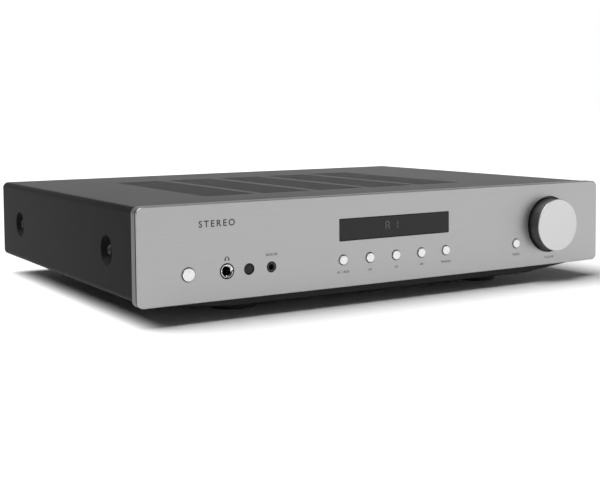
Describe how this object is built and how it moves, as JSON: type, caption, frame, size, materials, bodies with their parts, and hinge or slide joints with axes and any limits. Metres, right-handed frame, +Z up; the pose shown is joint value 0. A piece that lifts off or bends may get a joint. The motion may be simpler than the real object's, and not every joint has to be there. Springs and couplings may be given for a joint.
{
  "type": "stereo receiver",
  "caption": "Low full-width stereo amplifier unit: brushed fascia with display window, press buttons and volume knob, slotted folded cover, and rear sockets.",
  "frame": {"origin": "on the surface it stands on, under the middle of its bounding box", "axes": "+X to the right of someone facing the fascia, +Y from the fascia towards the rear panel, +Z up"},
  "size_m": [0.43, 0.34, 0.0831],
  "materials": {
    "fascia_brushed": "fine brushed, clear anodised",
    "frame_band": "satin anodised",
    "carrier_steel": "plain zinc-plated",
    "smoked_window": "smoked, glossy",
    "display_module": "moulded",
    "circuit_board": "green solder mask",
    "knob_satin": "spun satin",
    "chrome": "bright plated",
    "black_plastic": "fine moulded texture",
    "cover_paint": "dark grey powder coat",
    "hull_paint": "near-black powder coat",
    "rear_paint": "near-black powder coat",
    "transformer_wrap": "clear tape over varnished windings",
    "heatsink": "mill extruded",
    "capacitor_sleeve": "shrink sleeve",
    "ribbon_grey": "ribbed flat cable",
    "ground_metal": "knurled, nickel plated",
    "gilt": "gold plated",
    "button_silver": "bright satin",
    "cap_red": "moulded",
    "cap_black": "moulded",
    "screw_black": "blackened steel",
    "foot_rubber": "moulded"
  },
  "bodies": {
    "chassis": {"aux_jack": "black_plastic", "chassis_base": "hull_paint", "cover_screw_left_front": "screw_black", "cover_screw_left_rear": "screw_black", "cover_screw_right_front": "screw_black", "cover_screw_right_rear": "screw_black", "display_module": "display_module", "display_window": "smoked_window", "encoder_body": "carrier_steel", "encoder_nut": "carrier_steel", "fascia_frame": "frame_band", "filter_capacitor_1": "capacitor_sleeve", "filter_capacitor_2": "capacitor_sleeve", "foot_front_left": "foot_rubber", "foot_front_right": "foot_rubber", "foot_rear_left": "foot_rubber", "foot_rear_right": "foot_rubber", "front_board": "circuit_board", "front_fascia": "fascia_brushed", "front_subpanel": "carrier_steel", "ground_stud": "gilt", "headphone_jack": "chrome", "headphone_nut": "chrome", "heatsink": "heatsink", "ir_window": "smoked_window", "line_input_block": "black_plastic", "main_board": "circuit_board", "mains_inlet": "black_plastic", "mains_switch_frame": "black_plastic", "phono_input_block": "black_plastic", "rear_panel": "rear_paint", "ribbon_cable": "ribbon_grey", "speaker_stud_1": "gilt", "speaker_stud_2": "gilt", "speaker_stud_3": "gilt", "speaker_stud_4": "gilt", "speaker_terminal_strip": "black_plastic", "top_cover": "cover_paint", "transformer": "transformer_wrap", "transformer_clamp": "carrier_steel"},
    "volume_control": {"volume_knob": "knob_satin", "encoder_shaft": "carrier_steel"},
    "power_button": {"power_button": "button_silver"},
    "source_button_1": {"source_button_1": "button_silver"},
    "source_button_2": {"source_button_2": "button_silver"},
    "source_button_3": {"source_button_3": "button_silver"},
    "source_button_4": {"source_button_4": "button_silver"},
    "source_button_5": {"source_button_5": "button_silver"},
    "menu_button": {"menu_button": "button_silver"},
    "mains_rocker": {"mains_rocker": "black_plastic"},
    "speaker_washer_1": {"speaker_washer_1": "gilt"},
    "speaker_cap_1": {"speaker_cap_1": "cap_red"},
    "speaker_washer_2": {"speaker_washer_2": "gilt"},
    "speaker_cap_2": {"speaker_cap_2": "cap_black"},
    "speaker_washer_3": {"speaker_washer_3": "gilt"},
    "speaker_cap_3": {"speaker_cap_3": "cap_red"},
    "speaker_washer_4": {"speaker_washer_4": "gilt"},
    "speaker_cap_4": {"speaker_cap_4": "cap_black"},
    "ground_washer": {"ground_washer": "gilt"},
    "ground_cap": {"ground_cap": "ground_metal"}
  },
  "joints": [
    {"name": "volume_turn", "type": "hinge", "parent": "chassis", "child": "volume_control", "pos_m": [0.1589, -0.1593, 0.0487], "axis": [0, -1, 0], "continuous": true},
    {"name": "power_press", "type": "slide", "parent": "chassis", "child": "power_button", "axis": [0, 1, 0], "range_m": [0, 0.0012], "stiffness_N_per_m": 900, "springref_m": -0.0004},
    {"name": "source_press_1", "type": "slide", "parent": "chassis", "child": "source_button_1", "axis": [0, 1, 0], "range_m": [0, 0.0008], "stiffness_N_per_m": 900, "springref_m": -0.0004},
    {"name": "source_press_2", "type": "slide", "parent": "chassis", "child": "source_button_2", "axis": [0, 1, 0], "range_m": [0, 0.0008], "stiffness_N_per_m": 900, "springref_m": -0.0004},
    {"name": "source_press_3", "type": "slide", "parent": "chassis", "child": "source_button_3", "axis": [0, 1, 0], "range_m": [0, 0.0008], "stiffness_N_per_m": 900, "springref_m": -0.0004},
    {"name": "source_press_4", "type": "slide", "parent": "chassis", "child": "source_button_4", "axis": [0, 1, 0], "range_m": [0, 0.0008], "stiffness_N_per_m": 900, "springref_m": -0.0004},
    {"name": "source_press_5", "type": "slide", "parent": "chassis", "child": "source_button_5", "axis": [0, 1, 0], "range_m": [0, 0.0008], "stiffness_N_per_m": 900, "springref_m": -0.0004},
    {"name": "menu_press", "type": "slide", "parent": "chassis", "child": "menu_button", "axis": [0, 1, 0], "range_m": [0, 0.0008], "stiffness_N_per_m": 900, "springref_m": -0.0004},
    {"name": "mains_switch", "type": "hinge", "parent": "chassis", "child": "mains_rocker", "pos_m": [-0.135, 0.1492, 0.0455], "axis": [1, 0, 0], "range_deg": [0, 12]},
    {"name": "speaker_travel_1", "type": "slide", "parent": "chassis", "child": "speaker_washer_1", "axis": [0, 1, 0], "range_m": [0, 0.0049]},
    {"name": "speaker_turn_1", "type": "hinge", "parent": "speaker_washer_1", "child": "speaker_cap_1", "pos_m": [-0.0835, 0.1607, 0.0455], "axis": [0, 1, 0], "range_deg": [0, 2540]},
    {"name": "speaker_travel_2", "type": "slide", "parent": "chassis", "child": "speaker_washer_2", "axis": [0, 1, 0], "range_m": [0, 0.0049]},
    {"name": "speaker_turn_2", "type": "hinge", "parent": "speaker_washer_2", "child": "speaker_cap_2", "pos_m": [-0.0645, 0.1607, 0.0455], "axis": [0, 1, 0], "range_deg": [0, 2540]},
    {"name": "speaker_travel_3", "type": "slide", "parent": "chassis", "child": "speaker_washer_3", "axis": [0, 1, 0], "range_m": [0, 0.0049]},
    {"name": "speaker_turn_3", "type": "hinge", "parent": "speaker_washer_3", "child": "speaker_cap_3", "pos_m": [-0.0455, 0.1607, 0.0455], "axis": [0, 1, 0], "range_deg": [0, 2540]},
    {"name": "speaker_travel_4", "type": "slide", "parent": "chassis", "child": "speaker_washer_4", "axis": [0, 1, 0], "range_m": [0, 0.0049]},
    {"name": "speaker_turn_4", "type": "hinge", "parent": "speaker_washer_4", "child": "speaker_cap_4", "pos_m": [-0.0265, 0.1607, 0.0455], "axis": [0, 1, 0], "range_deg": [0, 2540]},
    {"name": "ground_travel", "type": "slide", "parent": "chassis", "child": "ground_washer", "axis": [0, 1, 0], "range_m": [0, 0.0028]},
    {"name": "ground_turn", "type": "hinge", "parent": "ground_washer", "child": "ground_cap", "pos_m": [0.168, 0.1587, 0.0455], "axis": [0, 1, 0], "range_deg": [0, 1460]}
  ],
  "couplings": [
    {"joint": "speaker_turn_1", "follows": "speaker_travel_1", "rad_per_m": 8976},
    {"joint": "speaker_turn_2", "follows": "speaker_travel_2", "rad_per_m": 8976},
    {"joint": "speaker_turn_3", "follows": "speaker_travel_3", "rad_per_m": 8976},
    {"joint": "speaker_turn_4", "follows": "speaker_travel_4", "rad_per_m": 8976},
    {"joint": "ground_turn", "follows": "ground_travel", "rad_per_m": 8976}
  ]
}
